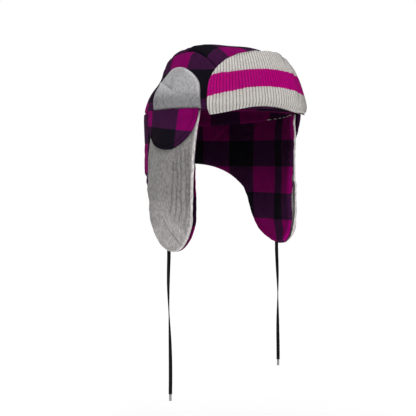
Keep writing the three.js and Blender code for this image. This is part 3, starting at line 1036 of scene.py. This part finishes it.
def cover_check(u, v, points):
    y, z = points[..., 1], points[..., 2]
    column = (y + 25.5 * MM + 0.18 * z) / CHECK + (points[..., 0] > 0)
    return np.where(column < 0, column, column * 0.72) + 1, (z + 24.5 * MM - 0.10 * y) / CHECK


def cover_groove_shade(u, v, points, edge):
    """Painted shade in the stitched groove inside the cover's edge."""
    return 1 - 0.35 * np.exp(-((edge - STITCH_INSET) / (0.8 * MM)) ** 2)


def cover_relief(points, edge):
    stitches = -0.5 * MM * np.exp(-((edge - STITCH_INSET) / (1.1 * MM)) ** 2)
    puckers = 0.3 * MM * ripple(points, 9 * MM, 32) * np.exp(-edge / (6 * MM))
    return stitches + 0.5 * MM * ripple(points, 34 * MM, 31) + puckers


# The toe's crease, the fold above it and the small folds below, as (y, z) in mm.
TOE_CREASE = [(34.5, 38), (14.7, 30.5), (-6, 22)]
TOE_FOLD = [(5.8, 48), (-6, 23)]
TOE_PLEATS = [[(33, 24), (28, 5)], [(26, 21), (21, 5)], [(10, 16), (6, 6)]]


def toe_relief(points, edge):
    """A slightly domed patch with the toe's slanting crease and the folds beside it."""
    domed = 3.0 * MM * np.clip(edge / (14 * MM), 0, 1) ** 0.6
    pleats = sum(near_line(points, line, 1.5) for line in TOE_PLEATS)
    creases = 0.9 * near_line(points, TOE_CREASE, 1.1) + 0.35 * near_line(points, TOE_FOLD, 1.4)
    ridge = 0.7 * near_line(points + (0, 0, 4 * MM), TOE_CREASE, 2.6)
    marks = MM * (ridge - creases - 0.8 * pleats) * np.clip(edge / (4 * MM), 0, 1)
    return crown_shape(points) + domed + marks + 0.25 * MM * ripple(points, 16 * MM, 41)


# Painted shade in the toe's crease, the fold above it and the pleats below; also lighter in a band under
# the crease, over its upper back and along its rim, and darker towards its foot.
def toe_tone_and_painted_shade(u, v, points, edge):
    y, z = in_mm(points)[1:]
    above = 0.7 * soft_step(y, -6, 8) * soft_step(z, 14, 24)
    band = near_line(points + (0, 0, 4.5 * MM), TOE_CREASE, 3.0) + above
    pleats = sum(near_line(points, line, 1.2) for line in TOE_PLEATS)
    rim = np.exp(-((edge - 1.9 * MM) / (1.2 * MM)) ** 2) * soft_step(z, 8, 20)
    low_part = soft_step(-z, -22, -8)
    creases = 0.34 * near_line(points, TOE_CREASE, 0.7) + 0.10 * near_line(points, TOE_FOLD, 1.2)
    return 1 + 0.18 * band + 0.42 * rim - 0.32 * low_part - creases - 0.24 * pleats


def build_cover(name, side):
    surface = on_side(side, cover_surface)
    face = cloth(f"{name}_cover_cloth", surface, 100, 54, (-4.6 * MM, -3.2 * MM), "u0 u1 v1",
                 (-2.5 * MM, -2.0 * MM), 3.5 * MM, cover_relief, cover_check, PLAID, tone=cover_groove_shade)
    backing = cloth(f"{name}_cover_back", surface, 70, 36, (-1.9 * MM, -0.8 * MM), "u0 u1 v1",
                    (-1.9 * MM, -1.4 * MM), 3 * MM, None, cover_check, PLAID)
    settle(face, f"{name}_cover", f"{name}_cover_face")
    settle(backing, f"{name}_cover", f"{name}_cover_backing")
    patch = cloth(f"{name}_toe_cloth", on_side(side, patch_surface), 110, 60, (-1.9 * MM, -0.5 * MM),
                  "u0 u1 v0 v1", (-0.6 * MM, -0.1 * MM), 2.4 * MM, toe_relief, sock_map, TOE, tone=toe_tone_and_painted_shade)
    settle(patch, "crown", f"{name}_toe_patch")


# ---- visor

VISOR_RING = (103 * MM, 108 * MM)
VISOR_HEIGHT = 71 * MM
VISOR_TURN = 0.46 * np.pi
VISOR_LEAN = 0.26
LEAN_CURVE = 1.5
VISOR_FULLNESS = 0.84
CORNER_SHARE = 0.09
LEFT_TRIM = 0.03
VISOR_SHIFT = 2.5 * MM
# Height of the visor's lower edge round the forehead, as (x, z) in mm.
VISOR_HEM = [(-83, -10), (-73, -8), (-55, -3.8), (-39, -0.7), (-25, 1), (-6, -0.4), (17, -3.2), (34, -4.8),
             (60, -5.5), (83, -6)]
VISOR_HEM_SHAPE = np.polyfit(*np.array(VISOR_HEM).T, 6)


def visor_surface(u, v):
    turn = v * VISOR_TURN
    corner = np.maximum(1 - v / CORNER_SHARE, 0)
    half_width = VISOR_HALF_WIDTH * np.cos(turn) ** VISOR_FULLNESS * (1 - 0.03 * corner ** 2)
    up = np.sin(turn) ** VISOR_FULLNESS
    x = between(-1, 1 - LEFT_TRIM * (1 - up), u) * half_width - VISOR_SHIFT
    z = VISOR_HEIGHT * up + np.polyval(VISOR_HEM_SHAPE, (x + VISOR_SHIFT) / MM) * MM * (1 - up)
    height = np.maximum(z, 0) / VISOR_HEIGHT
    ring = 1 - VISOR_LEAN * height ** LEAN_CURVE
    y = -VISOR_RING[1] * np.sqrt(ring ** 2 - (x / VISOR_RING[0]) ** 2)
    lean = VISOR_LEAN * LEAN_CURVE * height ** (LEAN_CURVE - 1) / VISOR_HEIGHT
    return stack(x, y, z), unit(stack(x / VISOR_RING[0] ** 2, y / VISOR_RING[1] ** 2, ring * lean))


def rib_count(points):
    """Ribs from the middle of the visor, at equal steps round its curve."""
    x, y = points[..., 0] / VISOR_RING[0], points[..., 1] / VISOR_RING[1]
    return np.arctan2(x, -y) * 106 * MM / RIB_WIDTH


def visor_map(u, v, points):
    """The stripe bows up a little in the middle."""
    up = np.sin(v * VISOR_TURN) ** VISOR_FULLNESS
    across = points[..., 0] / VISOR_HALF_WIDTH
    return rib_count(points), up * VISOR_HEIGHT - 1.8 * MM + 3.6 * MM * (across - 0.1) ** 2


def visor_padding(points, edge):
    x, _y, z = in_mm(points)
    full = np.sin(np.clip(edge / (22 * MM), 0, 1) * np.pi / 2)
    tucked = soft_step(x, 20, 70)
    lobe = np.exp(-((x - 66) / 24) ** 2 - ((z - 2) / 13) ** 2)
    return MM * (1.2 * full - 1.0 + 0.6 * ripple(points, 40 * MM, 51) + lobe - 3.2 * tucked)


def visor_relief(points, edge):
    ribs = 1.1 * MM * np.cos(2 * np.pi * rib_count(points))
    return visor_padding(points, edge) + ribs * np.clip(edge / (3 * MM), 0.25, 1)


def build_visor():
    puffed = swollen(visor_surface, swelling(visor_surface, 56, 26, (1 * MM, 6 * MM), 3.5 * MM)[0])
    face = cloth("visor_rib_cloth", puffed, 620, 70, (0.0, 1.6 * MM), "u0 u1 v0 v1",
                 (2.6 * MM, 3.4 * MM), 5 * MM, visor_relief, visor_map, RIB)
    wadding = cloth("visor_pad", inset(visor_surface, 0.05, 0.95, 0.05, 0.93), 60, 30,
                    (2.4 * MM, 5.2 * MM), relief=visor_padding, weave=plain_map, material=FLEECE)
    backing = cloth("visor_back_cloth", visor_surface, 120, 60, (5.8 * MM, 7.0 * MM), "u0 u1 v0 v1",
                    (3.6 * MM, 4.6 * MM), 4 * MM, None, strip_check, PLAID)
    for piece, node, slot in ((face, "visor_face", "cream_rib_knit"),
                              (wadding, "visor_wadding", "wadding"),
                              (backing, "visor_backing", "plaid_flannel")):
        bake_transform(piece)
        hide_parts(node)


# ---- laces

LACE_WIDTH = 4.6 * MM
LACE_THICKNESS = 1.4 * MM
LACE_ROUTES = {
    "right": [
        (-91, 2, -174.5), (-91, 2, -181), (-91.1, 2.1, -188), (-91.4, 2.3, -200), (-91.7, 2.4, -213),
        (-91.9, 2.2, -226), (-91.9, 1.8, -239), (-91.7, 1.4, -252), (-91.4, 1, -265), (-91.1, 0.7, -278),
        (-90.8, 0.4, -291), (-90.6, 0.2, -304), (-90.5, 0, -317), (-90.5, -0.1, -330), (-90.6, -0.1, -343),
        (-90.8, 0, -358)],
    "left": [
        (91, -1, -174.5), (91, -1, -181), (91.1, -1.1, -188), (91.4, -1.4, -199), (91.7, -1.8, -210),
        (91.9, -2.2, -221), (92, -2.6, -232), (91.9, -3, -243), (91.7, -3.3, -254), (91.4, -3.6, -265),
        (91.2, -3.9, -276), (91, -4.2, -287), (90.9, -4.5, -298), (90.9, -4.8, -309), (91, -5, -320),
        (91.2, -5.1, -340)],
}


def flat_section(centre, facing, wide, thick):
    """Points round a hanging flat section whose broad side is turned to face one way."""
    x = centre[0] + wide * np.cos(facing) + thick * np.sin(facing)
    y = centre[1] - wide * np.sin(facing) + thick * np.cos(facing)
    return stack(x, y, centre[2])


def build_lace(name):
    """A flat braid that turns over once on its way down."""
    route = np.array(LACE_ROUTES[name]) * MM
    steps, sides = 170, 16
    line = curve_through(route, np.linspace(0, 1, steps + 1))
    length = float(np.linalg.norm(np.diff(line, axis=0), axis=1).sum())
    share = np.linspace(0, 1, steps + 1)[:, None]
    facing = math.radians(40) + np.pi * smooth_steps(share) * 1.02
    around = np.linspace(0, 2 * np.pi, sides + 1)[None]
    wide = LACE_WIDTH / 2 * signed_power(np.cos(around), 0.75)
    thick = LACE_THICKNESS / 2 * signed_power(np.sin(around), 0.75)
    skin = flat_section(line.T[:, :, None], facing, wide, thick)
    lace = tube(f"{name}_lace_braid", skin, around / (2 * np.pi) * 12, share * length / (1.6 * MM), BRAID)
    aglet = build_aglet(name, line[-1], float(facing[-1, 0]))
    for piece, slot in ((lace, "lace_braid"), (aglet, "aglet_plastic")):
        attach(piece, f"{name}_lace")
    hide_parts(f"{name}_lace")
    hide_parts(f"{name}_aglet")


def tube(name, skin, around, along, material):
    """Closed tube from rings of points, with a flat cap at each end."""
    rings, sides = skin.shape[0], skin.shape[1] - 1
    points = skin[:, :-1].reshape(-1, 3)
    index = np.arange(rings * sides).reshape(rings, sides)
    following = np.roll(index, -1, 1)
    quads = np.stack([index[:-1], following[:-1], following[1:], index[1:]], -1).reshape(-1, 4)
    faces = quads.tolist() + [index[0].tolist(), index[-1, ::-1].tolist()]
    mesh = bpy.data.meshes.new(name)
    mesh.from_pydata(points.tolist(), [], faces)
    around, along = np.broadcast_arrays(around, along)
    mapped = np.stack([around, along], -1)
    corners = np.stack([mapped[:-1, :-1], mapped[:-1, 1:], mapped[1:, 1:], mapped[1:, :-1]], 2)
    caps = [mapped[0, :-1], mapped[-1, :-1][::-1]]
    add_map(mesh, "cloth", np.concatenate([corners.reshape(-1, 2), *caps]))
    return finished(name, mesh, material)


def build_aglet(name, top, facing):
    """Film wound round the lace's end, flattened a little, with a turned-in tip."""
    lowest = low(f"{name}_aglet")[2]
    heights = np.array([0, 0.02, 0.06, 0.5, 0.94, 0.98, 1.0])[:, None]
    girth = np.array([0.86, 0.97, 1, 0.99, 1, 0.95, 0.8])[:, None]
    around = np.linspace(0, 2 * np.pi, 25)[None]
    wide = 1.75 * MM * girth * np.cos(around)
    thick = 1.25 * MM * girth * np.sin(around)
    z = between(top[2] - 0.3 * MM, lowest, heights)
    skin = flat_section((top[0], top[1], z), facing, wide, thick)
    return tube(f"{name}_aglet_film", skin, around / (2 * np.pi), heights * 2, FILM)


for lace_name, _side in SIDES:
    build_lace(lace_name)
build_crown()
build_band()
build_curtain()
for flap_name, flap_side in SIDES:
    build_flap(flap_name, flap_side)
    build_cover(flap_name, flap_side)
build_visor()


# ---- studio

def add_sun(name, azimuth, elevation, softness, strength):
    """A soft light far off; azimuth turns from the front towards the wearer's right."""
    data = bpy.data.lights.new(name, "SUN")
    data.angle = math.radians(softness)
    data.energy = strength
    lamp = bpy.data.objects.new(name, data)
    lamp.rotation_euler = (math.radians(90 - elevation), 0, -math.radians(azimuth))
    bpy.context.collection.objects.link(lamp)


def build_studio():
    ground, reach, cells = cad_box[0][2] - 0.15, 6.0, 12
    steps = [reach * (2 * i / cells - 1) for i in range(cells + 1)]
    corners = [i * (cells + 1) + j for i in range(cells) for j in range(cells)]
    mesh = bpy.data.meshes.new("floor")
    mesh.from_pydata([(x, y, ground) for x in steps for y in steps], [],
                     [(k, k + cells + 1, k + cells + 2, k + 1) for k in corners])
    g = Graph("pale_floor")
    grain = g.noise(g.place(), 3, 2)
    g.feed(g.shader.inputs["Base Color"], g.mix(grain, (0.93, 0.93, 0.93, 1), (0.96, 0.96, 0.96, 1)))
    g.shader.inputs["Roughness"].default_value = 0.9
    g.shader.inputs["Emission Color"].default_value = (1, 1, 1, 1)
    g.shader.inputs["Emission Strength"].default_value = 0.10
    mesh.materials.append(g.material)
    floor = bpy.data.objects.new("floor", mesh)
    bpy.context.collection.objects.link(floor)
    world = bpy.data.worlds.new("studio")
    world.use_nodes = True
    tree = world.node_tree
    soft = tree.nodes["Background"]
    soft.inputs["Strength"].default_value = 0.28
    backdrop = tree.nodes.new("ShaderNodeBackground")
    backdrop.inputs["Strength"].default_value = 1.0
    for background in (soft, backdrop):
        background.inputs["Color"].default_value = (1, 1, 1, 1)
    seen = tree.nodes.new("ShaderNodeMixShader")
    tree.links.new(tree.nodes.new("ShaderNodeLightPath").outputs["Is Camera Ray"], seen.inputs[0])
    tree.links.new(soft.outputs[0], seen.inputs[1])
    tree.links.new(backdrop.outputs[0], seen.inputs[2])
    tree.links.new(seen.outputs[0], tree.nodes["World Output"].inputs["Surface"])
    bpy.context.scene.world = world
    add_sun("key", azimuth=55, elevation=60, softness=60, strength=2.3)
    add_sun("fill", azimuth=-5, elevation=35, softness=60, strength=0.6)
    bpy.context.scene.view_settings.view_transform = "Standard"


build_studio()
